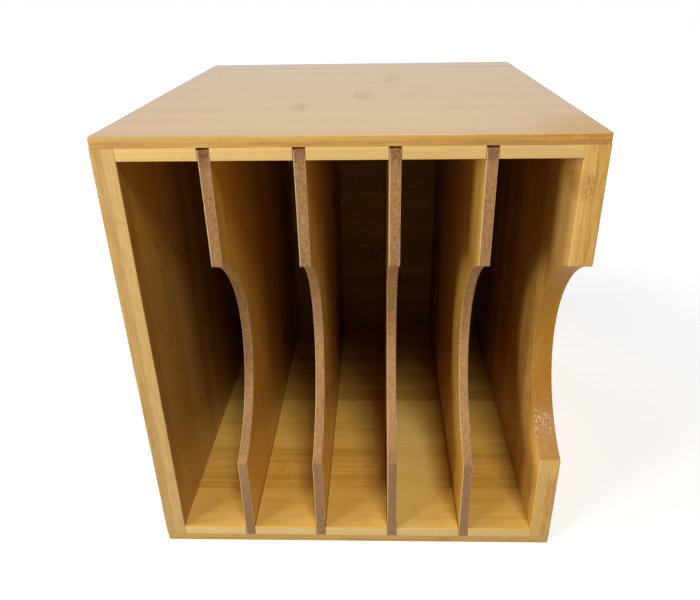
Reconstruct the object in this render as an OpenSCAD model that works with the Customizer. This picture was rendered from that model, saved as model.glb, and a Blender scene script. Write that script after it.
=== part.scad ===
// Case for twelve-inch records: two side panels between a top and a bottom board, a back panel
// and four dividers that slide into slots from the front. The right side panel and the dividers
// have a finger cut-out in their front edges.
// Frame: X to the right, Y to the back, Z up. The origin is the middle of the case's footprint.

/* [Case] */
// Outer width of the case, from left to right
case_w = 350; // [300:1:420]
// Outer depth of the case, from front to back
case_d = 372; // [330:1:420]
// Outer height of the case
case_h = 375; // [330:1:420]
// Thickness of each side panel
side_t = 17.5; // [13:0.5:24]
// Radius to which the outer edges of the case are eased
edge_r = 1.5; // [0.5:0.25:4]

/* [Top and bottom boards] */
// Thickness of the outer layer of the top board, which covers the side panels
top_outer_t = 8; // [5:0.5:12]
// Thickness of the inner layer of the top board, which is the depth of its slots
top_inner_t = 9; // [7.5:0.5:14]
// Thickness of the outer layer of the bottom board, which carries the side panels
bottom_outer_t = 8; // [5:0.5:12]
// Thickness of the inner layer of the bottom board, which is the depth of its slots
bottom_inner_t = 9; // [7.5:0.5:14]

/* [Back panel] */
// Thickness of the back panel
back_t = 5; // [3:0.5:8]
// Width of the rebate in the rear edge of each side panel, in which the back panel lies
rebate_w = 8; // [4:0.5:10]
// Gap between the back panel and the case at its two sides and its top edge
back_fit = 0.3; // [0.1:0.1:1]

/* [Dividers] */
// Thickness of the fibreboard core of a divider
core_t = 6.8; // [3:0.1:12]
// Thickness of the bamboo veneer on each face of a divider
veneer_t = 0.6; // [0.4:0.1:1]
// Side play of a divider in its slots, both sides together
slot_play = 0.8; // [0.4:0.1:2]
// Gap between the top end of a divider and the floor of its upper slot
divider_top_gap = 1.6; // [0.5:0.1:3]
// Gap between the rear edge of a divider and the back panel
divider_back_gap = 1; // [0.5:0.1:5]

/* [Finger cut-outs] */
// Height of the cut-out along the front edge of the right side panel
side_cut_h = 181.5; // [120:0.5:200]
// Depth of the cut-out of the right side panel, from front to back
side_cut_depth = 64; // [30:0.5:90]
// Height of the straight front edge below the cut-out of the right side panel
side_cut_foot = 89; // [40:0.5:100]
// Height of the cut-out along the front edge of a divider
divider_cut_h = 187; // [120:0.5:200]
// Depth of the cut-out of a divider, from front to back
divider_cut_depth = 67; // [30:0.5:90]
// Height of the straight front edge below the cut-out of a divider
divider_cut_foot = 84; // [40:0.5:100]

/* [Dowels] */
// Diameter of the dowels that join the end strips to the side panels
dowel_d = 5; // [3:0.5:6]
// Length of a dowel inside its strip
dowel_in_strip = 18; // [10:0.5:25]
// Length of a dowel inside its side panel
dowel_in_side = 10; // [6:0.5:11]
// Room for glue at each end of a dowel
dowel_end_gap = 0.8; // [0.2:0.1:1.5]
// Gap between a dowel and the wall of its hole
dowel_fit = 0.05; // [0.02:0.01:0.1]
// Distance from the front of the case to the first dowel of a row
dowel_front_inset = 50; // [20:1:100]
// Distance from the last dowel of a row to the rear of the case
dowel_back_inset = 50; // [20:1:100]

/* [Hidden] */

// Sides of the polygon that draws a circle
$fn = 120;
// How far a cutting shape runs past the face that it cuts
overrun = 1;

// Compartments between the side panels, and the dowels in one row
compartments = 5;
dowels_per_row = 3;

// Planes of the case
front_y = -case_d / 2;
rear_y = case_d / 2;
back_panel_y = rear_y - back_t;
foot_z = bottom_outer_t;
floor_z = bottom_outer_t + bottom_inner_t;
ceiling_z = case_h - top_outer_t - top_inner_t;
roof_z = case_h - top_outer_t;

// Slots and strips: the strips are all alike, and the gaps between them are the slots
inner_w = case_w - 2 * side_t;
divider_t = core_t + 2 * veneer_t;
slot_w = divider_t + slot_play;
pitch = (inner_w + slot_w) / compartments;
strip_w = pitch - slot_w;
divider_d = back_panel_y - divider_back_gap - front_y;
divider_h = roof_z - divider_top_gap - foot_z;

// Colours of the bamboo, of its veneer and of the fibreboard
honey = [0.82, 0.66, 0.44];
cream = [0.88, 0.76, 0.55];
straw = [0.80, 0.62, 0.38];
umber = [0.58, 0.44, 0.30];
birch = [0.85, 0.78, 0.62];

// Middle of divider i, and the left end of strip i, counted from 1 on the left
function divider_x(i) = -inner_w / 2 + i * pitch - slot_w / 2;
function strip_x(i) = -inner_w / 2 + (i - 1) * pitch;

// Radius of the circle that cuts a notch of height h and depth d into a straight edge
function notch_r(h, d) = (h * h / 4 + d * d) / (2 * d);

// Rectangle about the origin with its corners rounded to radius r
module rounded_rectangle(w, h, r) {
    square([w - 2 * r, h], center = true);
    square([w, h - 2 * r], center = true);
    for (x = [-1, 1], y = [-1, 1])
        translate([x * (w / 2 - r), y * (h / 2 - r)])
            circle(r);
}

// The outer shape of the whole case, with all twelve edges eased
module case_block() {
    intersection() {
        linear_extrude(case_h)
            rounded_rectangle(case_w, case_d, edge_r);
        translate([0, rear_y, case_h / 2])
            rotate([90, 0, 0])
                linear_extrude(case_d)
                    rounded_rectangle(case_w, case_h, edge_r);
        translate([-case_w / 2, 0, case_h / 2])
            rotate([90, 0, 90])
                linear_extrude(case_w)
                    rounded_rectangle(case_d, case_h, edge_r);
    }
}

// The slice of the case from height z upwards over thickness t
module case_slice(z, t) {
    intersection() {
        case_block();
        translate([-case_w, -case_d, z])
            cube([2 * case_w, 2 * case_d, t]);
    }
}

// Round cutter for a notch in a front edge: it starts at x, is w wide, and its lower end is at z
module notch(x, w, z, h, d) {
    r = notch_r(h, d);
    translate([x, front_y + d - r, z + h / 2])
        rotate([0, 90, 0])
            cylinder(r = r, h = w);
}

// One row of dowels or of dowel holes at height z, from x over length l
module dowel_row(x, l, z, r) {
    span = case_d - dowel_front_inset - dowel_back_inset;
    for (i = [0 : dowels_per_row - 1])
        translate([x, front_y + dowel_front_inset + i * span / (dowels_per_row - 1), z])
            rotate([0, 90, 0])
                cylinder(r = r, h = l);
}

// Heights of the dowel rows, in the middle of the inner layers
top_row_z = roof_z - top_inner_t / 2;
bottom_row_z = foot_z + bottom_inner_t / 2;
// Radius and length of a dowel hole across the joint of a strip and a side panel
hole_r = dowel_d / 2 + dowel_fit;
hole_in_side = dowel_in_side + dowel_end_gap;
hole_in_strip = dowel_in_strip + dowel_end_gap;

// Dowel holes on the left (side = -1) or on the right (side = 1) at height z
module dowel_holes(side, z) {
    x = side * inner_w / 2;
    dowel_row(side < 0 ? x - hole_in_side : x - hole_in_strip, hole_in_side + hole_in_strip, z, hole_r);
}

// Dowels on the left (side = -1) or on the right (side = 1) at height z
module dowels(side, z) {
    x = side * inner_w / 2;
    color(birch)
        dowel_row(side < 0 ? x - dowel_in_side : x - dowel_in_strip, dowel_in_side + dowel_in_strip, z, dowel_d / 2);
}

// Outer layer of the top board
module top_board() {
    color(honey)
        case_slice(roof_z, top_outer_t);
}

// Outer layer of the bottom board
module bottom_board() {
    color(honey)
        case_slice(0, bottom_outer_t);
}

// Side panel without its cut-out, on the left (side = -1) or on the right (side = 1)
module side_panel(side) {
    inner_x = side * inner_w / 2;
    difference() {
        intersection() {
            case_slice(foot_z, roof_z - foot_z);
            translate([side < 0 ? inner_x - 2 * side_t : inner_x, -case_d, 0])
                cube([2 * side_t, 2 * case_d, case_h]);
        }
        translate([side < 0 ? inner_x - rebate_w : inner_x - overrun, back_panel_y, 0])
            cube([rebate_w + overrun, back_t + overrun, case_h]);
        dowel_holes(side, top_row_z);
        dowel_holes(side, bottom_row_z);
    }
}

// Left side panel
module left_side() {
    color(honey)
        side_panel(-1);
}

// Right side panel, with the finger cut-out in its front edge
module right_side() {
    color(honey)
        difference() {
            side_panel(1);
            notch(inner_w / 2 - overrun, side_t + 2 * overrun, foot_z + side_cut_foot, side_cut_h, side_cut_depth);
        }
}

// Back panel, in the rebates of the side panels and between the outer layers of the boards
module back_panel() {
    w = inner_w + 2 * rebate_w - 2 * back_fit;
    color(straw)
        translate([-w / 2, back_panel_y, foot_z])
            cube([w, back_t, roof_z - foot_z - back_fit]);
}

// Strip i of an inner layer of thickness t, from height z upwards
module strip(i, z, t, row_z) {
    color(cream)
        difference() {
            translate([strip_x(i), front_y, z])
                cube([strip_w, back_panel_y - front_y, t]);
            if (i == 1) dowel_holes(-1, row_z);
            if (i == compartments) dowel_holes(1, row_z);
        }
}

// Strip i under the outer layer of the top board
module top_strip(i) {
    strip(i, ceiling_z, top_inner_t, top_row_z);
}

// Strip i on the outer layer of the bottom board
module bottom_strip(i) {
    strip(i, foot_z, bottom_inner_t, bottom_row_z);
}

// One layer of divider i, from x_off right of the divider's middle over thickness t
module divider_layer(i, x_off, t) {
    x = divider_x(i) + x_off;
    difference() {
        translate([x, front_y, foot_z])
            cube([t, divider_d, divider_h]);
        notch(x - overrun, t + 2 * overrun, foot_z + divider_cut_foot, divider_cut_h, divider_cut_depth);
    }
}

// Fibreboard core of divider i
module divider_core(i) {
    color(umber)
        divider_layer(i, -core_t / 2, core_t);
}

// Veneer on the left face of divider i
module left_veneer(i) {
    color(straw)
        divider_layer(i, -core_t / 2 - veneer_t, veneer_t);
}

// Veneer on the right face of divider i
module right_veneer(i) {
    color(straw)
        divider_layer(i, core_t / 2, veneer_t);
}

top_board();
bottom_board();
left_side();
right_side();
back_panel();
top_strip(1);  // top_strip_1
top_strip(2);  // top_strip_2
top_strip(3);  // top_strip_3
top_strip(4);  // top_strip_4
top_strip(5);  // top_strip_5
bottom_strip(1);  // bottom_strip_1
bottom_strip(2);  // bottom_strip_2
bottom_strip(3);  // bottom_strip_3
bottom_strip(4);  // bottom_strip_4
bottom_strip(5);  // bottom_strip_5
divider_core(1);  // divider_1_core
left_veneer(1);  // divider_1_left_veneer
right_veneer(1);  // divider_1_right_veneer
divider_core(2);  // divider_2_core
left_veneer(2);  // divider_2_left_veneer
right_veneer(2);  // divider_2_right_veneer
divider_core(3);  // divider_3_core
left_veneer(3);  // divider_3_left_veneer
right_veneer(3);  // divider_3_right_veneer
divider_core(4);  // divider_4_core
left_veneer(4);  // divider_4_left_veneer
right_veneer(4);  // divider_4_right_veneer
dowels(-1, top_row_z);  // dowels_top_left
dowels(1, top_row_z);  // dowels_top_right
dowels(-1, bottom_row_z);  // dowels_bottom_left
dowels(1, bottom_row_z);  // dowels_bottom_right
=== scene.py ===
"""Looks of a bamboo record storage stand.

The case is a floor board, a roof board, two side panels and a back panel. Short strips glued
inside the two boards leave the slots, in which four veneered dividers slide out to the front.
Everything is in metres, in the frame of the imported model: +X is right, +Y is away from the
viewer, +Z is up, and the case stands on the plane z = 0.
"""

import logging
import math
from dataclasses import dataclass, field
from enum import Enum
from typing import Callable, Optional, Union

import bmesh
import bpy
import numpy as np
from mathutils import Matrix, Vector


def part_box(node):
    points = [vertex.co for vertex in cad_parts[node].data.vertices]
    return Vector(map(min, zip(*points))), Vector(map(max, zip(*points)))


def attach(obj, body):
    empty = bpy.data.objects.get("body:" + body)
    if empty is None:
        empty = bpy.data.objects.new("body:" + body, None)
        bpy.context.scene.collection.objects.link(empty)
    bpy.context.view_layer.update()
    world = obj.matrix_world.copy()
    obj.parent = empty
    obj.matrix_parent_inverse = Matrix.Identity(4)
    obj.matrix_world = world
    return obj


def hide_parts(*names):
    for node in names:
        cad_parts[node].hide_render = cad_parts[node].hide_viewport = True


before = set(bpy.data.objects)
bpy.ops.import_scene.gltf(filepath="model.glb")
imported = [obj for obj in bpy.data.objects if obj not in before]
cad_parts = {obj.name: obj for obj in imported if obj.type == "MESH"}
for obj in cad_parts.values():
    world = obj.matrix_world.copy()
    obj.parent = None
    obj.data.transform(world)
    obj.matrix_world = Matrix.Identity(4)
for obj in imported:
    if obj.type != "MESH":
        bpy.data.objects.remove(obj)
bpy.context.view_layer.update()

MM = 0.001
LOG = logging.getLogger("record_stand")
# The values that each point of a piece carries, and the reach of the noise above and below 0.
PAINTS = ("arris", "front", "cutout")
NOISE_SPREAD = 1.3

Colour = tuple[float, float, float, float]
Value = Union["Sock", float]
WHITE: Colour = (1.0, 1.0, 1.0, 1.0)


def colour(*shown: int) -> Colour:
    """Turn a colour as a screen shows it, 0 to 255 each, into linear light with a full alpha."""
    share = np.array(shown) / 255
    return (*np.where(share <= 0.04045, share / 12.92, ((share + 0.055) / 1.055) ** 2.4).tolist(), 1.0)


def shades(*triples: tuple[int, int, int]) -> tuple[Colour, ...]:
    """Turn several colours as a screen shows them into light."""
    return tuple(colour(*triple) for triple in triples)


# ---- Shader writing ----


def operator(operation: str, swapped: bool = False) -> Callable:
    """Make a method of Sock that puts a Math node on it and on what it is given.

    Args:
        operation: The Math node's operation.
        swapped: Whether the Sock itself comes last.

    Returns:
        The method.
    """

    def apply(sock: "Sock", *others: Value) -> "Sock":
        """Put the Math node on the values."""
        values = (*others, sock) if swapped else (sock, *others)
        return sock.graph.node("ShaderNodeMath", {"operation": operation}, dict(enumerate(values)))

    return apply


class Sock:
    """A shader socket that adds Math nodes when it stands in an expression on values."""

    def __init__(self, graph: "Graph", socket: bpy.types.NodeSocket) -> None:
        """Wrap one socket of a graph."""
        self.graph = graph
        self.socket = socket

    __add__ = operator("ADD")
    __radd__ = operator("ADD", swapped=True)
    __sub__ = operator("SUBTRACT")
    __rsub__ = operator("SUBTRACT", swapped=True)
    __mul__ = operator("MULTIPLY")
    __rmul__ = operator("MULTIPLY", swapped=True)
    __truediv__ = operator("DIVIDE")
    __abs__ = operator("ABSOLUTE")
    floor = operator("FLOOR")
    fraction = operator("FRACT")
    root = operator("SQRT")
    most = operator("MAXIMUM")


# Noises: the size of a blot along each of three directions in millimetres, and the number of
# finer layers of noise. In bamboo the directions lie along the grain, across the strips and
# through the layers, and elsewhere they are the axes.
BLOTS = {
    "sway": (110, 30, 30, 1.0),
    "eddy": (7, 4, 6, 1.0),
    "ripple": (1.8, 1.8, 1.8, 1.0),
    "bands": (240, 7, 7, 2.0),
    "streaks": (70, 1.5, 1.5, 2.0),
    "fibres": (18, 0.7, 0.7, 1.0),
    "dashes": (5, 0.55, 0.55, 1.0),
    "flecks": (3.5, 8, 2.5, 1.0),
    "cut_grit": (1.1, 2.2, 2.2, 2.0),
    "board_clumps": (2.6, 3.0, 3.0, 2.0),
    "board_shreds": (1.0, 1.1, 1.1, 2.0),
    "board_grit": (0.45, 0.5, 0.5, 1.0),
    "board_clouds": (30, 60, 60, 1.0),
    "peg_grain": (0.4, 0.4, 12, 2.0),
    "peg_flecks": (0.3, 0.3, 2.5, 1.0),
}


class Graph:
    """The node tree of one material or of the world."""

    def __init__(self, tree: bpy.types.NodeTree) -> None:
        """Take a tree over and empty it."""
        self.tree = tree
        tree.nodes.clear()

    def node(self, kind: str, settings: Optional[dict] = None, sockets: Optional[dict] = None,
             out: int = 0) -> Sock:
        """Add one node.

        Args:
            kind: The node's type.
            settings: Its properties.
            sockets: A value or a Sock for each input, by name or number.
            out: Which output to hand back.

        Returns:
            The chosen output, or an empty Sock for a node that has none.
        """
        made = self.tree.nodes.new(kind)
        for key, value in (settings or {}).items():
            setattr(made, key, value)
        for key, value in (sockets or {}).items():
            if isinstance(value, Sock):
                self.tree.links.new(value.socket, made.inputs[key])
            else:
                made.inputs[key].default_value = value
        return Sock(self, made.outputs[out] if len(made.outputs) else None)

    def split(self, vector: Sock) -> list[Sock]:
        """Take a vector apart into its three values."""
        first = self.node("ShaderNodeSeparateXYZ", sockets={0: vector})
        return [Sock(self, output) for output in first.socket.node.outputs]

    def vector(self, x: Value, y: Value, z: Value) -> Sock:
        """Put three values together as a vector."""
        return self.node("ShaderNodeCombineXYZ", sockets={0: x, 1: y, 2: z})

    def place(self) -> list[Sock]:
        """Give the point on the piece as three values in millimetres."""
        point = self.node("ShaderNodeTexCoord", out=3)
        settings = {"operation": "MULTIPLY"}
        scaled = self.node("ShaderNodeVectorMath", settings, {0: point, 1: (1 / MM,) * 3})
        return self.split(scaled)

    def noise(self, x: Value, y: Value, z: Value, detail: float) -> Sock:
        """Give soft noise from about -1 to 1, whose blots are about one unit wide."""
        sockets = {"Vector": self.vector(x, y, z), "Scale": 1.0, "Detail": detail}
        return (self.node("ShaderNodeTexNoise", sockets=sockets) - 0.5) * (2.0 * NOISE_SPREAD)

    def blots(self, name: str, *places: Sock) -> Sock:
        """Give the named noise at a point whose three places are in millimetres."""
        *sizes, detail = BLOTS[name]
        return self.noise(*(place / size for place, size in zip(places, sizes)), detail)

    def chance(self, x: Value, y: Value, z: Value) -> Sock:
        """Give one steady random value from 0 to 1 for each whole-number place."""
        return self.node("ShaderNodeTexWhiteNoise", sockets={0: self.vector(x, y, z)})

    def paint(self, name: str) -> Sock:
        """Read one of the values that each point of the piece carries."""
        return self.node("ShaderNodeAttribute", {"attribute_name": name}, out=2)

    def step(self, value: Value, start: float, end: float) -> Sock:
        """Rise smoothly from 0 at start to 1 at end, which may also lie below start.

        Args:
            value: What is looked at.
            start: The value that gives 0.
            end: The value that gives 1.

        Returns:
            The eased share.
        """
        sockets = {0: value, 1: min(start, end), 2: max(start, end)}
        share = self.node("ShaderNodeMapRange", {"interpolation_type": "SMOOTHSTEP"}, sockets)
        return share if start < end else 1.0 - share

    def blend(self, share: Value, first: Union[Sock, Colour], second: Union[Sock, Colour]) -> Sock:
        """Mix two colours, the first where the share is 0 and the second where it is 1."""
        settings = {"data_type": "RGBA", "clamp_factor": True}
        return self.node("ShaderNodeMix", settings, {0: share, 6: first, 7: second}, out=2)

    def ramp(self, value: Sock, stops: list[tuple[float, Colour]]) -> Sock:
        """Colour a value by a ramp.

        Args:
            value: What is looked at.
            stops: Values and their colours, in rising order.

        Returns:
            The colour.
        """
        shade = self.node("ShaderNodeValToRGB", sockets={0: value})
        elements = shade.socket.node.color_ramp.elements
        while len(elements) < len(stops):
            elements.new(1.0)
        for element, (position, tint) in zip(elements, stops):
            element.position = position
            element.color = tint
        return shade

    def bump(self, height: Sock, depth: float) -> Sock:
        """Turn a height into a bent normal, where a height of 1 stands depth metres up."""
        return self.node("ShaderNodeBump", sockets={"Distance": depth, "Height": height})

    def surface(self, sockets: dict) -> None:
        """Close the graph with a Principled shader that has these sockets."""
        shader = self.node("ShaderNodeBsdfPrincipled", sockets=sockets)
        self.node("ShaderNodeOutputMaterial", sockets={"Surface": shader})


def new_material(name: str) -> tuple[bpy.types.Material, Graph]:
    """Start a material with an empty graph."""
    material = bpy.data.materials.new(name)
    material.use_nodes = True
    return material, Graph(material.node_tree)


# ---- Finishes ----


# How strongly waves of the fibres and a knuckle's halo move the tone, and a clear mark lifts it,
# as paler wood in some marks and as painted light in others.
RIPPLE_SWING, HALO_SWING, PALER_AND_LIT_LIFT = 0.7, 0.1, 0.5
# How much of another colour shows on seams, sawn ends, knots and the sawn face of a notch.
SEAM_SHARE, END_SHARE, KNOT_SHARE, CUT_SHARE = 0.22, 0.55, 0.28, 0.8
# How much of the lacquer is gone from a worn arris, and the roughness of its film.
ARRIS_WEAR, FILM_ROUGHNESS = 0.8, 0.22
# Millimetres: half the case's width, a seam's width and the distance between two knuckles.
HALF_WIDTH, SEAM_WIDTH, KNUCKLE_PITCH = 175.0, 0.18, 290.0
# Heights in millimetres between which the notch's face takes its colours on, turns from the low
# to the high one, painted shade below and painted light above, and, downwards, gets its sparkle.
CUT_START, CUT_SHADE_TO_LIGHT, CUT_POLISH = (94.0, 122.0), (140.0, 230.0), (200.0, 150.0)
# Heights in millimetres between which the fibreboard's edge gets darker, painted shade where its
# top end sits in the slot, and, downwards, dusty.
BOARD_PAINTED_SHADE, BOARD_DUST = (350.0, 364.0), (140.0, 40.0)
# Depth of each relief in metres, and how much rougher the notch's face is than the open grain.
BAMBOO_RELIEF, BOARD_RELIEF, PEG_RELIEF, GRIT_RELIEF = 0.00006, 0.0003, 0.00008, 2.2


class Lay(Enum):
    """Which axes the grain, the strips side by side and the layers of a piece follow."""

    FLAT = (0, 1, 2)
    UPRIGHT = (2, 1, 0)
    CROSSWISE = (0, 2, 1)


class Flaw(Enum):
    """What a mark in the wood is."""

    STAIN = "stain"
    CRACK = "crack"
    CLEAR = "clear"
    KNOT = "knot"
    RUBBED = "rubbed"


@dataclass(frozen=True)
class Mark:
    """A blot in the wood at one place.

    Attributes:
        centre: Its middle in the frame, in millimetres.
        reach: Half its size along X, Y and Z, in millimetres.
        strength: How much of it shows, 0 to 1.
        flaw: A broken dark stain, a solid dark crack, a clear patch in which the tone is
        lifted, paler wood in some marks and painted light in others, a knot, round which the
        fibres part, or a place where the lacquer is thin.
    """

    centre: tuple[float, float, float]
    reach: tuple[float, float, float]
    strength: float
    flaw: Flaw = Flaw.STAIN

    def share(self, graph: Graph, axes: list[Sock], grain: Value) -> Sock:
        """Give its strength in its middle and 0 outside, with an edge that the grain breaks up."""
        x, y, z = ((axes[i] - self.centre[i]) / self.reach[i] for i in range(3))
        return graph.step(x * x + y * y + z * z + grain * 0.5, 1.0, 0.1) * self.strength


@dataclass(frozen=True)
class Grain:
    """The noises and shares that the fibres of a bamboo surface are made of.

    Attributes:
        bands, streaks, fibres: Slow bands, streaks and fibres along the grain, -1 to 1.
        pores: Share of the short dark pores.
        ripple: Waves across the grain round knuckles and knots, -1 to 1.
        luck: Random value of the strip, 0 to 1.
        row: Number of the layer.
        seam: Share of the joint between two strips.
        line, halo: Shares of a knuckle's dark line and of the dull halo round it.
    """

    bands: Sock
    streaks: Sock
    fibres: Sock
    pores: Sock
    ripple: Sock
    luck: Sock
    row: Sock
    seam: Sock
    line: Sock
    halo: Sock


@dataclass(frozen=True)
class Bamboo:
    """Strips of bamboo pressed into layers, sanded and lacquered in satin.

    Attributes:
        name: The material's name.
        lay: Which way grain, strips and layers run.
        deep, middle, pale: Colours of the darkest, the common and the lightest fibres.
        strip, layer: Width of a strip and thickness of a layer in millimetres.
        first_layer: Where one layer begins, in millimetres along its axis.
        layer_shift: How much lighter every second layer is.
        strip_shift: How far the strips differ in tone.
        knuckle_share: Strength of the knuckles, 0 to 1.
        painted_shade_right: How much darker the front face gets from its middle to its +X end; painted
            shade, where less sheen falls than on its left end.
        front: How much paler the front face is than the rest; painted light, which the front face
            catches and the faces inside miss.
        wander: How far the fibres stray sideways, in millimetres.
        calm: How much weaker the grain shows away from the front face, 0 to 1.
        band, streak, fibre, pore: Strengths of slow bands, streaks, single fibres and pores.
        rim, rim_share: Colour of the front edge, or None, and how much of it shows, 0 to 1.
        cut: Colours of the sawn face of a notch, low and high, or None for the wood's own; the
        turn from the low to the high one is painted shade below and painted light above.
        worn: How much paler the rounded arrises are.
        gloss, coat: Roughness of the lacquered wood and weight of the clear coat.
        shine: Specular level of the wood under the coat.
        seed: Picks the random tones.
        marks: Blots at known places.
    """

    name: str
    lay: Lay
    deep: Colour
    middle: Colour
    pale: Colour
    strip: float = 20.0
    layer: float = 4.0
    first_layer: float = 0.0
    layer_shift: float = 0.0
    strip_shift: float = 0.3
    knuckle_share: float = 0.5
    painted_shade_right: float = 0.0
    front: float = 0.0
    wander: float = 0.7
    calm: float = 0.0
    band: float = 0.22
    streak: float = 0.16
    fibre: float = 0.18
    pore: float = 0.25
    rim: Optional[Colour] = None
    rim_share: float = 0.85
    cut: Optional[tuple[Colour, Colour]] = None
    worn: float = 0.15
    gloss: float = 0.36
    coat: float = 0.25
    shine: float = 0.5
    seed: float = 1.0
    marks: tuple[Mark, ...] = ()

    def dress(self) -> bpy.types.Material:
        """Write the material.

        Tone is a sum of a step per strip, a step per layer, three noises drawn out along the
        grain, painted shade towards the +X end of the front face, painted light on the front face,
        and the clear marks, some of which are painted light. A ramp from deep to pale turns it
        into a colour, over which come knuckles, pores, seams, sawn ends, the face of a notch with
        its painted shade and light, the other marks (stains broken up into flecks), worn arrises
        and the rim, which on some woods is painted light.

        Returns:
            The finished material.
        """
        material, graph = new_material(self.name)
        axes = x, y, z = graph.place()
        grain = self._grain(graph, axes)
        arris, front, cutout = (graph.paint(name) for name in PAINTS)

        odd = (grain.row * 0.5).fraction() * 2.0
        tone = 0.5 + (grain.luck - 0.5) * self.strip_shift + (odd - 0.5) * self.layer_shift
        swing = grain.bands * self.band + grain.streaks * self.streak + grain.fibres * self.fibre
        swing = swing + grain.ripple * RIPPLE_SWING - grain.halo * HALO_SWING
        tone = tone + swing * (1.0 - (1.0 - front) * self.calm)
        # Painted shade darkens the front face towards +X, and painted light lifts it over the faces
        # inside.
        tone = tone - front * x.most(0.0) * (self.painted_shade_right / HALF_WIDTH) + (front - cutout) * self.front
        for mark in self.marks:
            if mark.flaw is Flaw.CLEAR:
                tone = tone + mark.share(graph, axes, grain.streaks) * PALER_AND_LIT_LIFT
        base = graph.ramp(tone, [(0.08, self.deep), (0.5, self.middle), (0.92, self.pale)])

        facing = graph.split(graph.node("ShaderNodeTexCoord", out=1))
        sawn = graph.step(abs(facing[self.lay.value[0]]), 0.25, 0.8)
        darks = [grain.line * self.knuckle_share, grain.pores * self.pore]
        for share in (*darks, grain.seam * SEAM_SHARE, sawn * END_SHARE):
            base = graph.blend(share, base, self.deep)
        if self.cut is not None:
            # The sawn face's colour turns from painted shade low on the notch to painted light high on it.
            shade = graph.blend(graph.step(z, *CUT_SHADE_TO_LIGHT), *self.cut)
            base = graph.blend(cutout * graph.step(z, *CUT_START) * CUT_SHARE, base, shade)
        kept = 1.0 - arris * ARRIS_WEAR
        for mark in self.marks:
            share = mark.share(graph, axes, grain.streaks)
            if mark.flaw is Flaw.STAIN:
                flecks = graph.blots("flecks", *(axes[i] for i in self.lay.value))
                share = share * graph.step(flecks, -0.35, 0.5)
            if mark.flaw in (Flaw.STAIN, Flaw.RUBBED):
                kept = kept * (1.0 - share)
            if mark.flaw is Flaw.KNOT:
                share = share * KNOT_SHARE
            if mark.flaw in (Flaw.STAIN, Flaw.CRACK, Flaw.KNOT):
                base = graph.blend(share, base, self.deep)
        base = graph.blend(arris * self.worn, base, self.pale)
        if self.rim is not None:
            base = graph.blend(front * self.rim_share, base, self.rim)

        grit = graph.blots("cut_grit", x, y, z)
        polish = cutout * graph.step(z, *CUT_POLISH)
        height = grain.streaks * 0.5 + grain.fibres * 0.5 + grit * polish * GRIT_RELIEF
        height = height - grain.seam * 0.6 - grain.line * 0.5 - grain.pores * 0.5
        sockets = {
            "Base Color": base,
            "Roughness": self.gloss + grain.bands * 0.03 + grain.fibres * 0.03 + cutout * 0.06,
            "Normal": graph.bump(height, BAMBOO_RELIEF),
            "Specular IOR Level": self.shine,
            "Coat Weight": (1.0 - cutout) * kept * self.coat + polish * graph.step(grit, 0.0, 0.3),
            "Coat Roughness": FILM_ROUGHNESS,
        }
        graph.surface(sockets)
        return material

    def _grain(self, graph: Graph, axes: list[Sock]) -> Grain:
        """Lay strips, layers and fibres over the piece.

        The lane is the place across the grain in strips, shifted by a random part of a strip
        in each layer. Round a knuckle or knot the fibres are pushed sideways by a short noise.

        Args:
            graph: The material's graph.
            axes: The point in millimetres.

        Returns:
            The noises and shares.
        """
        along, across, through = (axes[i] for i in self.lay.value)
        across = across + graph.blots("sway", along, across, through) * self.wander
        row = ((through - self.first_layer) / self.layer).floor()
        lane = across / self.strip + graph.chance(row, 5.0, self.seed)
        luck = graph.chance(lane.floor(), row, self.seed)
        line, halo = self._knuckles(graph, along, lane, luck)
        bend: Value = halo * self.knuckle_share
        for mark in self.marks:
            if mark.flaw is Flaw.KNOT:
                bend = mark.share(graph, axes, 0.0).most(bend)
        side = across + bend * graph.blots("eddy", along, across, through) * 2.0
        ripple = graph.blots("ripple", along, side, through) * bend
        bands, streaks, fibres, dashes = (
            graph.blots(name, along, side, through)
            for name in ("bands", "streaks", "fibres", "dashes")
        )
        pores = graph.step(dashes, 0.45, 0.9)
        seam = graph.step(abs(lane.fraction() - 0.5), 0.5 - SEAM_WIDTH / self.strip, 0.5)
        return Grain(bands, streaks, fibres, pores, ripple, luck, row, seam, line, halo)

    def _knuckles(self, graph: Graph, along: Sock, lane: Sock, luck: Sock) -> tuple[Sock, Sock]:
        """Draw one narrow bowed line with a dull halo across each strip in each pitch.

        Args:
            graph: The material's graph.
            along: Place along the grain in millimetres.
            lane: Place across the strips, in strips.
            luck: The strip's own random value.

        Returns:
            The share of the dark line and that of the dull halo round it.
        """
        bow = (lane.fraction() - 0.5) * (lane.fraction() - 0.5) * 9.0
        turn = (along + bow) / KNUCKLE_PITCH + luck * 7.3
        gap = abs(turn.fraction() - 0.5) * KNUCKLE_PITCH
        blotch = graph.noise(along / 4, lane * 6, luck * 40, 1.0)
        line = graph.step(gap, 1.6, 0.2) * graph.step(blotch, -0.5, 0.4)
        halo = graph.step(gap, 13.0, 0.0) * graph.step(blotch, -0.9, 0.7)
        return line, halo


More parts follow.
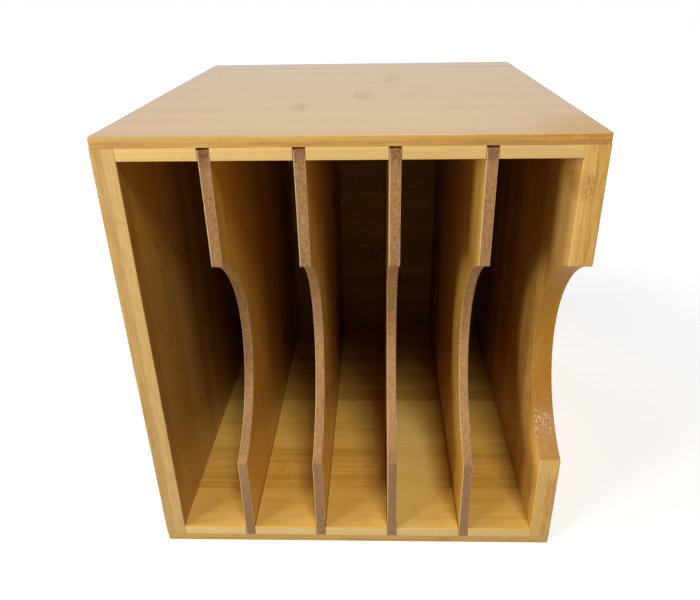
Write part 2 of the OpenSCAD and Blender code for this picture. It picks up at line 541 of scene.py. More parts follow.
@dataclass(frozen=True)
class Fibreboard:
    """The bare sawn edge of a fibreboard core.

    Attributes:
        name: The material's name.
        dark: Colour of the packed fibres.
        pale: Colour of the loose fibres.
        dust: Colour of the dust on the lower part.
    """

    name: str
    dark: Colour
    pale: Colour
    dust: Colour

    def dress(self) -> bpy.types.Material:
        """Write the material: clumps, short fibres and fine grit over two browns.

        Returns:
            The finished material.
        """
        material, graph = new_material(self.name)
        x, y, z = graph.place()
        clumps, shreds, grit, clouds = (
            graph.blots(f"board_{name}", x, y, z) for name in ("clumps", "shreds", "grit", "clouds")
        )
        tone = 0.5 + clumps * 0.3 + shreds * 0.3 + grit * 0.5 + clouds * 0.2
        # Painted light lifts the notch's face, and painted shade darkens the top end in the slot.
        tone = tone + graph.paint("cutout") * 0.1 - graph.step(z, *BOARD_PAINTED_SHADE) * 0.25
        base = graph.ramp(tone, [(0.1, self.dark), (0.9, self.pale)])
        base = graph.blend(graph.step(z, *BOARD_DUST) * 0.35, base, self.dust)
        height = clumps * 0.3 + shreds * 0.5 + grit * 0.2
        sockets = {
            "Base Color": base,
            "Roughness": 0.86 + grit * 0.06,
            "Normal": graph.bump(height, BOARD_RELIEF),
            "Specular IOR Level": 0.25,
        }
        graph.surface(sockets)
        return material


@dataclass(frozen=True)
class Beech:
    """Turned hardwood pegs with short flecks.

    Attributes:
        name: The material's name.
        body: Colour of the wood.
        fleck: Colour of the flecks.
    """

    name: str
    body: Colour
    fleck: Colour

    def dress(self) -> bpy.types.Material:
        """Write the material.

        Returns:
            The finished material.
        """
        material, graph = new_material(self.name)
        axes = graph.place()
        grain = graph.blots("peg_grain", *axes)
        flecks = graph.step(graph.blots("peg_flecks", *axes), 0.35, 0.7)
        base = graph.ramp(0.5 + grain * 0.4, [(0.1, self.fleck), (0.8, self.body)])
        base = graph.blend(flecks * 0.5, base, self.fleck)
        normal = graph.bump(grain, PEG_RELIEF)
        graph.surface({"Base Color": base, "Roughness": 0.6 + grain * 0.05, "Normal": normal})
        return material


TOP_MARKS = (
    Mark((0.0, -160.0, 375.0), (230.0, 75.0, 4.0), 0.35, Flaw.CLEAR),
    Mark((0.0, 0.0, 375.0), (180.0, 240.0, 4.0), 0.2, Flaw.CLEAR),
    Mark((-42.0, -87.0, 375.0), (11.0, 24.0, 3.0), 0.75),
    Mark((7.0, -39.0, 375.0), (12.0, 21.0, 3.0), 0.7),
    Mark((36.0, 65.0, 375.0), (12.0, 45.0, 3.0), 0.5),
    Mark((117.0, 139.0, 375.0), (8.0, 17.0, 3.0), 0.3),
    Mark((140.0, -128.0, 375.0), (5.0, 12.0, 3.0), 0.45),
    Mark((-83.0, -187.0, 373.0), (5.0, 3.0, 1.6), 0.5),
    Mark((132.0, -187.0, 369.2), (15.0, 3.0, 1.2), 0.6),
    Mark((146.3, -187.0, 371.0), (0.7, 3.0, 3.8), 0.5, Flaw.CRACK),
    Mark((152.0, -187.0, 372.6), (7.0, 3.0, 2.0), 0.3, Flaw.CLEAR),
    Mark((163.0, -187.0, 371.6), (10.0, 3.0, 1.2), 0.3),
    Mark((161.0, -187.0, 371.0), (16.0, 6.0, 5.0), 0.35, Flaw.KNOT),
    Mark((97.1, -187.0, 367.1), (4.8, 3.0, 0.8), 0.9, Flaw.CRACK),
    Mark((180.0, -190.0, 375.0), (72.0, 80.0, 4.0), 0.9, Flaw.RUBBED),
)
FLOOR_MARKS = (Mark((80.0, -187.0, 4.0), (11.0, 3.0, 4.0), 0.6),)
CRACK = Mark((112.0, -187.0, 362.5), (0.7, 4.0, 3.4), 0.9, Flaw.CRACK)
HEM = Mark((0.0, -187.0, 14.0), (420.0, 19.0, 8.0), 0.6, Flaw.CLEAR)
# Painted light on the lit front part of the floor beside the third divider.
FLOOR_PAINTED_LIGHT = Mark((48.0, -96.0, 17.0), (40.0, 115.0, 3.0), 0.9, Flaw.CLEAR)
RIGHT_MARKS = (
    Mark((158.0, -186.0, 338.0), (14.0, 48.0, 13.0), 1.0, Flaw.KNOT),
    # Painted light on the front of the inner face, where light from the left falls; it also lifts the
    # front face beside the inner arris.
    Mark((157.5, -186.0, 300.0), (3.0, 60.0, 75.0), 1.0, Flaw.CLEAR),
    Mark((166.0, -176.0, 106.0), (30.0, 40.0, 34.0), 0.9, Flaw.CLEAR),
)
# Painted light on the front of the dividers' left faces, where light from the left falls.
LEFT_FACES_PAINTED_LIGHT = Mark((0.0, -186.0, 320.0), (400.0, 60.0, 90.0), 0.9, Flaw.CLEAR)

ROOF_WOOD = Bamboo(
    "bamboo_roof",
    Lay.FLAT,
    *shades((136, 84, 14), (188, 139, 47), (210, 171, 88)),
    front=0.07,
    first_layer=367.0,
    layer_shift=0.05,
    strip_shift=0.2,
    calm=0.55,
    knuckle_share=0.25,
    painted_shade_right=0.24,
    streak=0.3,
    fibre=0.26,
    rim=colour(182, 122, 14),
    rim_share=0.3,
    worn=0.0,
    coat=0.45,
    marks=TOP_MARKS,
)
FLOOR_WOOD = Bamboo(
    "bamboo_floor",
    Lay.FLAT,
    *shades((146, 99, 28), (184, 141, 58), (204, 165, 79)),
    worn=0.4,
    seed=4.0,
    marks=FLOOR_MARKS,
)
SIDE_GRAIN = {"layer": 8.75, "wander": 1.6, "fibre": 0.32, "pore": 0.5}
LEFT_WOOD = Bamboo(
    "bamboo_left",
    Lay.UPRIGHT,
    *shades((138, 88, 30), (175, 131, 56), (200, 161, 88)),
    front=0.2,
    first_layer=-175.0,
    layer_shift=0.04,
    knuckle_share=0.3,
    band=0.08,
    streak=0.18,
    seed=9.0,
    **SIDE_GRAIN,
)
RIGHT_WOOD = Bamboo(
    "bamboo_right",
    Lay.UPRIGHT,
    *shades((146, 90, 24), (186, 136, 55), (218, 172, 94)),
    front=0.26,
    first_layer=157.5,
    layer_shift=-0.14,
    band=0.1,
    streak=0.24,
    # The notch's sawn colour, darker low as painted shade and lighter high as painted light.
    cut=shades((160, 105, 8), (190, 132, 28)),
    shine=0.2,
    seed=12.0,
    marks=RIGHT_MARKS,
    **SIDE_GRAIN,
)
STRIP_WOOD = Bamboo(
    "bamboo_strip",
    Lay.FLAT,
    *shades((178, 124, 42), (219, 172, 76), (228, 192, 106)),
    layer=4.5,
    knuckle_share=0.15,
    painted_shade_right=0.12,
    # The pale rim is painted light: a haze on the strips' front faces that lifts them over the floors
    # behind.
    rim=colour(212, 182, 118),
    rim_share=0.5,
    seed=18.0,
    marks=(CRACK, HEM, FLOOR_PAINTED_LIGHT),
)
BACK_WOOD = Bamboo(
    "bamboo_back",
    Lay.CROSSWISE,
    *shades((140, 88, 30), (178, 126, 54), (198, 148, 76)),
    layer=2.5,
    first_layer=181.0,
    gloss=0.55,
    coat=0.0,
    shine=0.2,
    seed=21.0,
)
VENEERS = {
    side: Bamboo(
        f"bamboo_veneer_{side}",
        Lay.UPRIGHT,
        *shades((164, 108, 30), (208, 156, 62), (222, 178, 88)),
        strip=17.0,
        layer=40.0,
        rim=rim,
        seed=26.0,
        marks=marks,
    )
    for side, rim, marks in (
        # The left veneers' pale rim is a painted highlight on their lit left arris.
        ("left", colour(206, 170, 124), (LEFT_FACES_PAINTED_LIGHT,)),
        ("right", colour(158, 118, 80), ()),
    )
}
CORE_BOARD = Fibreboard("fibreboard_edge", *shades((112, 70, 38), (198, 150, 96), (130, 111, 88)))
PEG_WOOD = Beech("beech_peg", *shades((222, 190, 146), (176, 130, 84)))


# ---- Surfaces ----


@dataclass
class Sheet:
    """A grid of points with the wear at each.

    Attributes:
        points: Rows by columns by three, in metres.
        wear: Rows by columns, 1 in the middle of a rounded arris and 0 on a flat face.
        front: Rows by columns, 1 on the face towards the viewer's side and 0 elsewhere.
        cutout: Rows by columns, 1 on the sawn face of a notch and 0 elsewhere.
        ring: Whether the last column runs on into the first.
    """

    points: np.ndarray
    wear: np.ndarray
    front: np.ndarray
    cutout: np.ndarray
    ring: bool = False

    def quads(self, first: int) -> np.ndarray:
        """Number the four corners of each cell.

        Args:
            first: The number of the sheet's first point.

        Returns:
            Cells by four.
        """
        numbers = first + np.arange(self.wear.size).reshape(self.wear.shape)
        if self.ring:
            numbers = np.hstack([numbers, numbers[:, :1]])
        corners = (numbers[:-1, :-1], numbers[1:, :-1], numbers[1:, 1:], numbers[:-1, 1:])
        return np.stack(corners, axis=-1).reshape(-1, 4)


def weld(points: np.ndarray, paint: np.ndarray, quads: np.ndarray) -> tuple:
    """Merge points that match to a tenth of a micron, and drop the cells that close up.

    Args:
        points: All points.
        paint: The values that each point carries.
        quads: The cells.

    Returns:
        The merged points, their values, the cells left with four corners and with three, and
        the new number of each old point.
    """
    keys = np.round(points * 1e7).astype(np.int64)
    _, keep, moved = np.unique(keys, axis=0, return_index=True, return_inverse=True)
    moved = moved.reshape(-1)
    cells = moved[quads]
    same = cells == np.roll(cells, -1, axis=1)
    whole = cells[~same.any(axis=1)]
    whole = whole[(whole[:, 0] != whole[:, 2]) & (whole[:, 1] != whole[:, 3])]
    thirds = []
    for corner in range(4):
        closed = (same.sum(axis=1) == 1) & same[:, corner]
        thirds.append(np.delete(cells[closed], corner, axis=1))
    return points[keep], paint[keep], whole, np.vstack(thirds), moved


def make_piece(name: str, sheets: list[Sheet], caps: bool = False) -> bpy.types.Object:
    """Turn sheets into one closed, smoothly shaded mesh object at the origin.

    Args:
        name: The object's name.
        sheets: The grids that close the piece between them.
        caps: Whether the first and last row of the first sheet are filled with flat ends.

    Returns:
        The object, with the sheets' values in attributes "arris", "front" and "cutout".
    """
    points = np.vstack([sheet.points.reshape(-1, 3) for sheet in sheets])
    values = [stretch(sheet.wear, sheet.front, sheet.cutout).reshape(-1, 3) for sheet in sheets]
    starts = np.cumsum([0] + [sheet.wear.size for sheet in sheets])
    quads = np.vstack([sheet.quads(start) for sheet, start in zip(sheets, starts)])
    points, paint, whole, thirds, moved = weld(points, np.vstack(values), quads)
    faces = whole.tolist() + thirds.tolist()
    if caps:
        columns = sheets[0].wear.shape[1]
        last = sheets[0].wear.size - columns
        faces += [moved[:columns][::-1].tolist(), moved[last : last + columns].tolist()]
    mesh = bpy.data.meshes.new(name)
    mesh.from_pydata(points.tolist(), [], faces)
    form = bmesh.new()
    form.from_mesh(mesh)
    bmesh.ops.recalc_face_normals(form, faces=form.faces)
    form.to_mesh(mesh)
    form.free()
    mesh.polygons.foreach_set("use_smooth", [True] * len(mesh.polygons))
    for label, column in zip(PAINTS, paint.T):
        attribute = mesh.attributes.new(label, "FLOAT", "POINT")
        attribute.data.foreach_set("value", column.astype(np.float32))
    mesh.validate()
    piece = bpy.data.objects.new(name, mesh)
    bpy.context.scene.collection.objects.link(piece)
    return piece


# Spacing of the points in metres across a front face and up a front edge, for each kind of panel.
PLAIN_GAPS, NOTCHED_GAPS = (0.004, 0.012), (0.004, 0.003)
CORE_GAPS, VENEER_GAPS = (0.0007, 0.0008), (0.0006, 0.0012)
# How far inside the ends of a row its extra points lie, and the widest step up a board's rim.
BRINK, RIM_GAP = 0.0004, 0.004
# Points round a notch's softened corner, and steps in a quarter turn of any other arris.
CORNER_POINTS, ARRIS_STEPS = 9, 5
# Where the points between a panel's front arris and its rear stand, 0 to 1.
RUNGS = np.array([0.002, 0.3, 0.6])


def stations(start: float, end: float, gap: float, hem: float = BRINK) -> np.ndarray:
    """Even places from start to end, with one more just inside each end.

    Args:
        start: The first place.
        end: The last place.
        gap: The widest step wanted.
        hem: How far inside the ends the extra places lie.

    Returns:
        The places in rising order.
    """
    count = max(1, math.ceil((end - start) / gap))
    places = np.linspace(start, end, count + 1)
    if end - start > 4 * hem:
        places = np.concatenate([places[:1], [start + hem], places[1:-1], [end - hem], places[-1:]])
    return places


def waves(points: np.ndarray, length: float, seed: int) -> np.ndarray:
    """Give a smooth random value from about -1 to 1 at each point.

    It is the mean of eight plane waves with random directions, phases and lengths.

    Args:
        points: Any shape of points, in metres.
        length: The common wave length in metres.
        seed: Picks the waves.

    Returns:
        One value for each point.
    """
    random = np.random.default_rng(seed)
    pull = random.normal(size=(8, 3))
    pull /= np.linalg.norm(pull, axis=1, keepdims=True)
    pull *= (2 * math.pi / (length * random.uniform(0.6, 1.6, 8)))[:, None]
    return np.sin(points @ pull.T + random.uniform(0, 2 * math.pi, 8)).mean(axis=-1) * 2.0


def fillet() -> np.ndarray:
    """Angles of a quarter turn from 0 to 90 degrees, in radians."""
    return np.linspace(0, math.pi / 2, ARRIS_STEPS + 1)


def stretch(*columns: Union[np.ndarray, float]) -> np.ndarray:
    """Put columns side by side, where a single value runs down the whole of its column."""
    return np.stack(np.broadcast_arrays(*columns), axis=-1)


@dataclass(frozen=True)
class Slab:
    """A flat block with its own easing on the corners, the far rim and the near rim.

    Attributes:
        low: Lowest corner.
        high: Highest corner.
        corner: Radius of the four edges along the thickness.
        upper: Radius round the face at the high end of the thickness.
        lower: Radius round the face at the low end of the thickness.
        thickness: The axis that the thickness runs along, 0 to 2.
        gap: Widest spacing of the points.
    """

    low: Vector
    high: Vector
    corner: float
    upper: float
    lower: float
    thickness: int = 2
    gap: float = 0.012

    def _rows(self, base: float, top: float) -> np.ndarray:
        """Profile of the rim from the middle of the low face to the middle of the high one.

        The reach is how far the outline stands out from the core rectangle: nothing in the
        faces, the full corner radius on the wall, and a quarter circle between.

        Args:
            base: Place of the low face.
            top: Place of the high face.

        Returns:
            The height, the reach and the wear of each row, as three arrays.
        """
        turn = fillet()
        sink, draw, bend = 1 - np.cos(turn), 1 - np.sin(turn), np.sin(2 * turn)
        wall = stations(base + self.lower, top - self.upper, RIM_GAP)[1:-1]
        rows = [
            [[base, 0.0, 0.0]],
            stretch(base + self.lower * sink, self.corner - self.lower * draw, bend),
            stretch(wall, self.corner, 0.0),
            stretch(top - self.upper * sink, self.corner - self.upper * draw, bend)[::-1],
            [[top, 0.0, 0.0]],
        ]
        return np.concatenate(rows).T

    def sheets(self) -> list[Sheet]:
        """Lay out the rim and the two faces.

        The rim is core(u) + reach(v) * outward(u) at height(v), where core runs round the
        rectangle inside the corner radius, and the faces are plain grids over that rectangle.

        Returns:
            Three sheets that close the slab.
        """
        broad = [axis for axis in range(3) if axis != self.thickness]
        order = np.argsort([*broad, self.thickness])
        span = [
            stations(self.low[axis] + self.corner, self.high[axis] - self.corner, self.gap)
            for axis in broad
        ]
        core, outward, bend = ring_of(*span)
        height, reach, wear = self._rows(self.low[self.thickness], self.high[self.thickness])
        outline = core + reach[:, None, None] * outward
        rim = stretch(outline[..., 0], outline[..., 1], height[:, None])[..., order]
        on_wall = (reach >= self.corner - 1e-9)[:, None]
        worn = np.maximum(wear[:, None], bend * on_wall)
        made = [Sheet(rim, worn, self._front(rim), np.zeros(worn.shape), ring=True)]
        for level in (height[0], height[-1]):
            face = stretch(span[0][:, None], span[1], level)[..., order]
            flat = np.zeros(face.shape[:2])
            made.append(Sheet(face, flat, self._front(face), flat))
        return made

    def _front(self, points: np.ndarray) -> np.ndarray:
        """Give 1 to the points on the lowest face along Y, and 0 to the rest."""
        return (points[..., 1] < self.low[1] + 1e-6).astype(float)


def ring_of(xs: np.ndarray, ys: np.ndarray) -> tuple[np.ndarray, np.ndarray, np.ndarray]:
    """Go once round a rectangle, turning a quarter circle on the spot at each corner.

    Args:
        xs: Places along the first direction.
        ys: Places along the second.

    Returns:
        Points, outward directions and how far each direction is into a corner, 0 to 1.
    """
    sides = [
        stretch(xs, ys[0]),
        stretch(xs[-1], ys),
        stretch(xs[::-1], ys[-1]),
        stretch(xs[0], ys[::-1]),
    ]
    turn = fillet()[1:]
    points, angles = [], []
    for side, path in enumerate(sides):
        heading = (side - 1) * math.pi / 2
        points += [path, np.repeat(path[-1:], turn.size - 1, axis=0)]
        angles += [np.full(len(path), heading), heading + turn[:-1]]
    angles = np.concatenate(angles)
    outward = stretch(np.cos(angles), np.sin(angles))
    return np.concatenate(points), outward, np.abs(np.sin(2 * angles))


@dataclass(frozen=True)
class Notch:
    """A finger notch, an arc of a circle taken out of the front edge of an upright panel.

    Attributes:
        foot: Height of its lower corner above the panel's own foot.
        height: Distance between its two corners.
        depth: How deep it goes.
        easing: Radius that softens its two corners.
    """

    foot: float
    height: float
    depth: float
    easing: float

    @property
    def radius(self) -> float:
        """Radius of the circle through both corners and the deepest point."""
        return ((self.height / 2) ** 2 + self.depth**2) / (2 * self.depth)


@dataclass(frozen=True)
class FrontEdge:
    """The line that a panel's front edge follows, from its foot to its head.

    Attributes:
        y: Place of each point along Y.
        z: Place of each point along Z.
        angle: Direction in which the edge faces there, in radians from +Y towards +Z.
        corner: 1 on the softened corners of a notch and 0 elsewhere.
    """

    y: np.ndarray
    z: np.ndarray
    angle: np.ndarray
    corner: np.ndarray


@dataclass(frozen=True)
class Section:
    """The outline of an upright panel seen from above, as columns carried up its front edge.

    Attributes:
        x: Place of each column along X.
        inset: How far it lies behind the front edge's surface.
        share: 0 at the front edge, 1 at the rear, between them on the broad faces.
        rear: Place of its rear end along Y.
        wear: 1 in the middle of a rounded arris.
    """

    x: np.ndarray
    inset: np.ndarray
    share: np.ndarray
    rear: np.ndarray
    wear: np.ndarray


@dataclass(frozen=True)
class Panel:
    """An upright panel, which fills the box of its node.

    Attributes:
        low, high: Lowest and highest corner.
        notch: The finger notch in its front edge, or None.
        eases: Radius of the front arris at low X and at high X.
        gaps: Widest spacing of the points across the front face and up the front edge.
        tail: The rear outline from high X to low X, as places along X and Y, or empty for a
            square end.
        roughen: Gives an extra inset for each point from the section and the edge.
    """

    low: Vector
    high: Vector
    notch: Optional[Notch]
    eases: tuple[float, float]
    gaps: tuple[float, float]
    tail: tuple[tuple[float, float], ...] = ()
    roughen: Optional[Callable] = None

    def _edge(self) -> FrontEdge:
        """Trace the front edge.

        A notch's circle meets the straight line in two small arcs that touch both, so the
        centres of the circles are the sum of their radii apart.

        Returns:
            The edge.
        """
        notch, gap, out = self.notch, self.gaps[1], math.pi
        front, foot, head = self.low.y, self.low.z, self.high.z
        if notch is None:
            return FrontEdge(*stretch(front, stations(foot, head, gap), out, 0.0).T)
        ease, big = notch.easing, notch.radius
        centre_y = front + notch.depth - big
        centre_z = foot + notch.foot + notch.height / 2
        rise = math.sqrt((big + ease) ** 2 - (front + ease - centre_y) ** 2)
        limit = math.atan2(rise, centre_y - front - ease)
        count = math.ceil(2 * (out - limit) * big / gap) + 1
        small = np.linspace(out, limit, CORNER_POINTS)
        sweep = np.linspace(limit, 2 * out - limit, count)
        bend = np.abs(np.sin(math.pi * (small - out) / (limit - out)))
        corner_y, corner_z = front + ease + ease * np.cos(small), ease * np.sin(small)
        hollow_y, hollow_z = centre_y - big * np.cos(sweep), centre_z - big * np.sin(sweep)
        parts = [
            stretch(front, stations(foot, centre_z - rise, gap), out, 0.0),
            stretch(corner_y, centre_z - rise + corner_z, small, bend)[1:],
            stretch(hollow_y, hollow_z, sweep, 0.0)[1:],
            stretch(corner_y, centre_z + rise - corner_z, 2 * out - small, bend)[-2::-1],
            stretch(front, stations(centre_z + rise, head, gap), out, 0.0)[1:],
        ]
        return FrontEdge(*np.concatenate(parts).T)

    def _section(self) -> Section:
        """Lay out the section.

        It runs along the front face, round the arris at high X, back along the broad face,
        through the tail's points, and forwards again the same way.

        Returns:
            The section as a closed ring of columns.
        """
        turn = fillet()[1:]
        side, sink, bend = np.sin(turn), 1 - np.cos(turn), np.sin(2 * turn)
        low, high, across = self.low.x, self.high.x, self.gaps[0]
        left, right = self.eases
        face = stations(low + left, high - right, across, hem=min(across, BRINK) / 2)
        square = [(high, self.high.y), (low, self.high.y)]
        tail_x, tail_y = np.array(self.tail or square).T
        parts = [
            stretch(face, 0.0, 0.0, 0.0, 0.0),
            stretch(high - right + right * side, right * sink, 0.0, 0.0, bend),
            stretch(high, right, RUNGS, tail_y[0], 0.0),
            stretch(tail_x, 0.0, 1.0, tail_y, 0.0),
            stretch(low, left, RUNGS[::-1], tail_y[-1], 0.0),
            stretch(low + left - left * side, left * sink, 0.0, 0.0, bend)[::-1],
        ]
        return Section(*np.concatenate(parts).T)

    def sheets(self) -> list[Sheet]:
        """Carry the section up the front edge.

        A column lies at the edge's point less its inset times the direction that the edge
        faces, moved towards its rear end at the same height by its share.

        Returns:
            One closed ring of columns, whose two end rows are level.
        """
        cut, edge = self._section(), self._edge()
        inset = np.broadcast_to(cut.inset, (edge.z.size, cut.x.size))
        if self.roughen is not None:
            inset = inset + self.roughen(cut, edge)
        y = edge.y[:, None] - inset * np.cos(edge.angle)[:, None]
        z = edge.z[:, None] - inset * np.sin(edge.angle)[:, None]
        points = stretch(
            cut.x,
            y * (1 - cut.share) + cut.rear * cut.share,
            z * (1 - cut.share) + edge.z[:, None] * cut.share,
        )
        wear = np.maximum(cut.wear, edge.corner[:, None] * (cut.share == 0))
        front = np.broadcast_to((cut.share == 0).astype(float), wear.shape)
        notched = np.clip((edge.y - edge.y.min()) / (2 * MM), 0, 1)
        return [Sheet(points, wear, front, front * notched[:, None], ring=True)]


# ---- Sub-assemblies ----


def stand_in(node: str, form: Union[Slab, Panel], body: str,
             material: bpy.types.Material) -> None:
    """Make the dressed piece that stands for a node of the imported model.

    Args:
        node: The node that it replaces.
        form: Its shape. A panel's ends are filled.
        body: The body that it moves with.
        material: Its finish.
    """
    piece = make_piece(f"{node}_dressed", form.sheets(), isinstance(form, Panel))
    piece.data.materials.append(material)
    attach(piece, body)
    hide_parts(node)
    LOG.info("%s: %d points, rides on %s", piece.name, len(piece.data.vertices), body)


@dataclass
class Case:
    """The boards, side panels and back panel, with the strips that leave the slots.

    Attributes:
        easing: Radius of the case's outer arrises.
        corner: Radius of the boards' corners seen from above.
        joint: Radius of the arrises where two boards meet.
        crisp: Radius of the sanded inner arrises.
        notch: The finger notch in the right side panel.
        rebate: Width and depth of the step that takes the back panel.
        strips: Strips per board.
    """

    easing: float = 0.0009
    corner: float = 0.002
    joint: float = 0.00022
    crisp: float = 0.0005
    notch: Notch = field(default_factory=lambda: Notch(0.089, 0.1815, 0.064, 0.0016))
    rebate: tuple[float, float] = (0.008, 0.005)
    strips: int = 5

    def build(self) -> None:
        """Make every piece of the case."""
        self._boards()
        self._sides()
        self._back()
        self._strips()
        self._pegs()

    def _slab(self, node: str, material: bpy.types.Material, corner: float,
              upper: float, lower: float, thickness: int = 2) -> None:
        """Replace one board by an eased slab of the same size."""
        slab = Slab(*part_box(node), corner, upper, lower, thickness)
        stand_in(node, slab, "case", material)

    def _boards(self) -> None:
        """Make the roof and floor boards, eased outside and crisp at the joint."""
        slot, corner, joint = "bamboo_outer", self.corner, self.joint
        self._slab("top_board", ROOF_WOOD.dress(), corner, self.easing, joint)
        self._slab("bottom_board", FLOOR_WOOD.dress(), corner, joint, self.easing)

    def _sides(self) -> None:
        """Make the side panels, with the notch in the right one and the rebate in both."""
        width, depth = self.rebate
        low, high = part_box("left_side")
        step = high.x - width
        tail = (
            (high.x, high.y - depth),
            (step, high.y - depth),
            (step, high.y - self.crisp),
            (step - self.crisp, high.y),
            (low.x + self.easing, high.y),
            (low.x + self.easing * 0.3, high.y - self.easing * 0.3),
            (low.x, high.y - self.easing),
        )
        left = Panel(low, high, None, (self.easing, self.crisp), PLAIN_GAPS, tail)
        stand_in("left_side", left, "case", LEFT_WOOD.dress())
        tail = tuple((-x, y) for x, y in tail[::-1])
        eases = (self.crisp, self.easing)
        right = Panel(*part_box("right_side"), self.notch, eases, NOTCHED_GAPS, tail)
        stand_in("right_side", right, "case", RIGHT_WOOD.dress())

    def _back(self) -> None:
        """Make the thin back panel."""
        crisp = self.crisp
        self._slab("back_panel", BACK_WOOD.dress(), crisp, crisp, crisp, 1)

    def _strips(self) -> None:
        """Make the strips between the slots."""
        material, ease = STRIP_WOOD.dress(), self.joint
        for number in range(1, self.strips + 1):
            for level in ("top", "bottom"):
                self._slab(f"{level}_strip_{number}", material, ease, ease, ease)

    def _pegs(self) -> None:
        """Give the pegs hidden in the joints their wood."""
        material = PEG_WOOD.dress()
        for name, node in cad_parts.items():
            if name.startswith("dowels_"):
                node.data.materials.clear()
                node.data.materials.append(material)
                LOG.info("%s: keeps its shape", name)


@dataclass
class Dividers:
    """The sliding dividers: a fibreboard core between two veneers.

    Attributes:
        count: How many there are.
        notch: The finger notch in each.
        ease: Radius of a core's front arrises and of a veneer's.
        grain: Length of the waves that roughen the sawn edge, in metres.
        depth: How deep they go, in metres.
        tear: Length of the waves that tear a veneer's edge, in metres.
        nick: Deepest nick in a veneer's edge, in metres.
    """

    count: int = 4
    notch: Notch = field(default_factory=lambda: Notch(0.084, 0.187, 0.067, 0.0007))
    ease: tuple[float, float] = (0.0002, 0.00012)
    grain: float = 0.0028
    depth: float = 0.00011
    tear: float = 0.006
    nick: float = 0.0005

    def build(self) -> None:
        """Make every divider."""
        core = CORE_BOARD.dress()
        veneers = {side: wood.dress() for side, wood in VENEERS.items()}
        for number in range(1, self.count + 1):
            self._core(number, core)
            for side, veneer in veneers.items():
                self._veneer(number, side, veneer)

    def _core(self, number: int, material: bpy.types.Material) -> None:
        """Make one core with a sawn, slightly crumbled front edge."""
        node = f"divider_{number}_core"

        def sawn(cut: Section, edge: FrontEdge) -> np.ndarray:
            """Sink the edge by random waves, and more on the notch's corners and arrises."""
            place = stretch(cut.x, edge.y[:, None], edge.z[:, None])
            rough = 0.5 + 0.5 * waves(place, self.grain, 10 + number)
            crumbs = np.clip(waves(place, self.grain * 0.7, 20 + number) - 0.2, 0, 1)
            rim = np.clip(cut.wear + (cut.inset > 0), 0, 1)
            extra = rough * self.depth + crumbs * self.depth * (2 * rim + 4 * edge.corner[:, None])
            return np.clip(extra, 0, None) * (cut.share < 0.01)

        eases = (self.ease[0],) * 2
        core = Panel(*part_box(node), self.notch, eases, CORE_GAPS, roughen=sawn)
        stand_in(node, core, f"divider_{number}", material)

    def _veneer(self, number: int, side: str, material: bpy.types.Material) -> None:
        """Make one veneer with a nicked front edge."""
        node = f"divider_{number}_{side}_veneer"
        seed = 40 + 2 * number + (side == "left")

        def nicked(cut: Section, edge: FrontEdge) -> np.ndarray:
            """Sink the edge where a random wave passes a limit."""
            place = stretch(0.0, edge.y, edge.z)
            torn = np.clip(waves(place, self.tear, seed) - 0.45, 0, 1) * self.nick * 2
            chips = np.clip(waves(place, self.tear / 3, seed + 9), 0, 1)
            return (torn + edge.corner * chips * self.nick)[:, None] * (cut.share < 0.01)

        eases = (self.ease[1],) * 2
        veneer = Panel(*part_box(node), self.notch, eases, VENEER_GAPS, roughen=nicked)
        stand_in(node, veneer, f"divider_{number}", material)


# ---- Studio ----


@dataclass(frozen=True)
class Lamp:
    """A soft rectangular lamp that looks at the case.

    Attributes:
        name: The lamp's name.
        azimuth, elevation: Degrees to the right of the viewer and above the floor.
        distance: How far it hangs from its aim, in metres.
        width, height: Its size in metres.
        power: Its power in watts.
        glare: Whether it shows as a highlight on the lacquer.
    """

    name: str
    azimuth: float
    elevation: float
    distance: float
    width: float
    height: float
    power: float
    glare: bool = True

    def hang(self, aim: Vector) -> None:
        """Put the lamp in its place.

        Args:
            aim: The point that it looks at.
        """
        data = bpy.data.lights.new(self.name, "AREA")
        data.shape = "RECTANGLE"
        data.size = self.width
        data.size_y = self.height
        data.energy = self.power
        lamp = bpy.data.objects.new(self.name, data)
        turn, rise = math.radians(self.azimuth), math.radians(self.elevation)
        flat = math.cos(rise)
        away = Vector((math.sin(turn) * flat, -math.cos(turn) * flat, math.sin(rise)))
        lamp.location = aim + away * self.distance
        lamp.rotation_mode = "QUATERNION"
        lamp.rotation_quaternion = away.to_track_quat("Z", "Y")
        lamp.visible_glossy = self.glare
        bpy.context.scene.collection.objects.link(lamp)


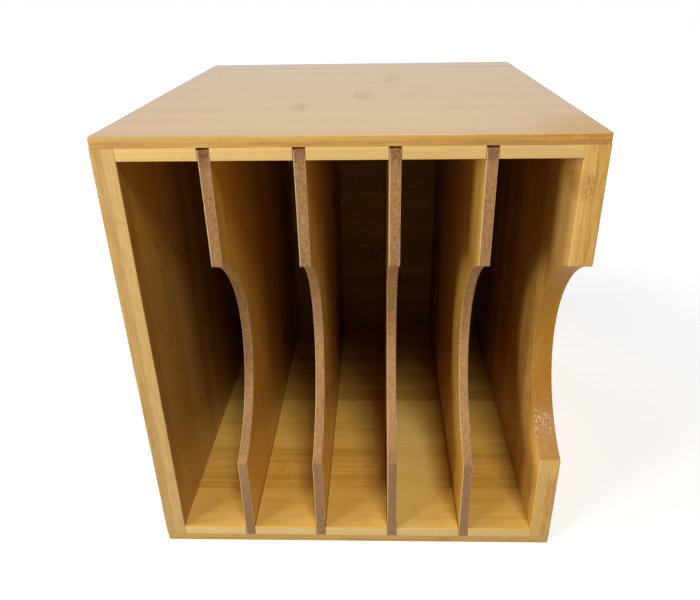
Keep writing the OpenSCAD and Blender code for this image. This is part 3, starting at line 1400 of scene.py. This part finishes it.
@dataclass
class Studio:
    """Plain pale floor, soft lamps and a white surround that throws no light.

    Attributes:
        floor_reach: Half the width of the floor in metres.
        floor_seen, floor_cast: Grey of the floor to the viewer, and for the light it throws back.
        floor_glow: Light that the floor adds for the viewer beside the case.
        glow_from, glow_to: Metres from the middle between which the glow rises to white.
        aim: What the lamps look at.
        lamps: The lamps.
    """

    floor_reach: float = 30.0
    floor_seen: float = 0.74
    floor_cast: float = 0.45
    floor_glow: float = 0.4
    glow_from: float = 0.4
    glow_to: float = 1.6
    aim: Vector = field(default_factory=lambda: Vector((0.0, 0.0, 0.19)))
    lamps: tuple[Lamp, ...] = (
        Lamp("key", 15.0, 54.0, 2.2, 0.5, 0.6, 27.0),
        Lamp("low_left", -47.0, 14.0, 2.2, 0.5, 0.6, 24.0),
        Lamp("side_left", -75.0, 20.0, 2.2, 0.6, 1.1, 26.0),
        Lamp("rear_left", -140.0, 10.0, 2.2, 0.9, 0.5, 14.0, glare=False),
        Lamp("rear_right", 115.0, 10.0, 2.2, 0.9, 0.5, 28.0, glare=False),
    )

    def build(self) -> None:
        """Set the stage."""
        self._floor()
        self._world()
        for lamp in self.lamps:
            lamp.hang(self.aim)
            LOG.info("lamp %s: %.0f W", lamp.name, lamp.power)

    def _floor(self) -> None:
        """Lay the floor, matt, and lifted to white for the viewer outside the shadow."""
        spread = np.linspace(-self.floor_reach, self.floor_reach, 13)
        points = stretch(spread[:, None], spread, 0.0)
        flat = np.zeros(points.shape[:2])
        floor = make_piece("floor", [Sheet(points, flat, flat, flat)])
        material, graph = new_material("floor_white")
        lit, cast = (
            graph.node("ShaderNodeBsdfDiffuse", sockets={0: (grey, grey, grey, 1.0)})
            for grey in (self.floor_seen, self.floor_cast)
        )
        x, y, _ = graph.place()
        away = (x * x + y * y).root() * MM
        share = graph.step(away, self.glow_from, self.glow_to)
        strength = self.floor_glow + share * (1.0 - self.floor_glow)
        glow = graph.node("ShaderNodeEmission", sockets={0: WHITE, 1: strength})
        both = graph.node("ShaderNodeAddShader", sockets={0: lit, 1: glow})
        shown = self._seen(graph)
        mixed = graph.node("ShaderNodeMixShader", sockets={0: shown, 1: cast, 2: both})
        graph.node("ShaderNodeOutputMaterial", sockets={"Surface": mixed})
        floor.data.materials.append(material)

    @staticmethod
    def _seen(graph: Graph) -> Sock:
        """Give 1 on rays that the viewer sees, straight or in a mirror or glass, and else 0."""
        path = graph.node("ShaderNodeLightPath").socket.node.outputs
        names = ("Is Camera Ray", "Is Glossy Ray", "Is Transmission Ray")
        straight, mirrored, through = (Sock(graph, path[name]) for name in names)
        return straight.most(mirrored).most(through)

    def _world(self) -> None:
        """Make the surround, white to the viewer and dark as a light."""
        world = bpy.data.worlds.new("surround")
        world.use_nodes = True
        bpy.context.scene.world = world
        graph = Graph(world.node_tree)
        sockets = {0: WHITE, 1: self._seen(graph)}
        light = graph.node("ShaderNodeBackground", sockets=sockets)
        graph.node("ShaderNodeOutputWorld", sockets={"Surface": light})


@dataclass(frozen=True)
class Viewer:
    """The camera.

    Attributes:
        eye: Its place in metres.
        yaw, pitch, roll: Degrees to the right of +Y, upwards, and of its raised right side.
        lens: Focal length over a frame 36 mm wide.
        shift: Sideways and upward shift of the frame, in frame widths.
    """

    eye: tuple[float, float, float] = (0.0206, -0.5962, 0.4689)
    yaw: float = -1.847
    pitch: float = -25.973
    roll: float = -0.944
    lens: float = 32.0
    shift: tuple[float, float] = (-0.01457, -0.02964)

    def build(self) -> None:
        """Make the camera and let the scene use it."""
        data = bpy.data.cameras.new("viewer")
        data.sensor_width = 36.0
        data.lens = self.lens
        data.shift_x, data.shift_y = self.shift
        camera = bpy.data.objects.new("viewer", data)
        yaw, pitch, roll = (math.radians(a) for a in (self.yaw, self.pitch, self.roll))
        ahead = Vector((math.sin(yaw) * math.cos(pitch), math.cos(yaw) * math.cos(pitch), math.sin(pitch)))
        level = ahead.cross(Vector((0, 0, 1))).normalized()
        right = level * math.cos(roll) + level.cross(ahead) * math.sin(roll)
        upward = right.cross(ahead)
        turn = Matrix((right, upward, -ahead)).transposed()
        camera.matrix_world = Matrix.Translation(self.eye) @ turn.to_4x4()
        bpy.context.scene.collection.objects.link(camera)
        bpy.context.scene.camera = camera


def main() -> None:
    """Build the stand and its studio in order."""
    logging.basicConfig(level=logging.INFO, format="%(message)s")
    bpy.context.scene.view_settings.view_transform = "Standard"
    Viewer().build()
    Case().build()
    Dividers().build()
    Studio().build()


if __name__ == "__main__":
    main()
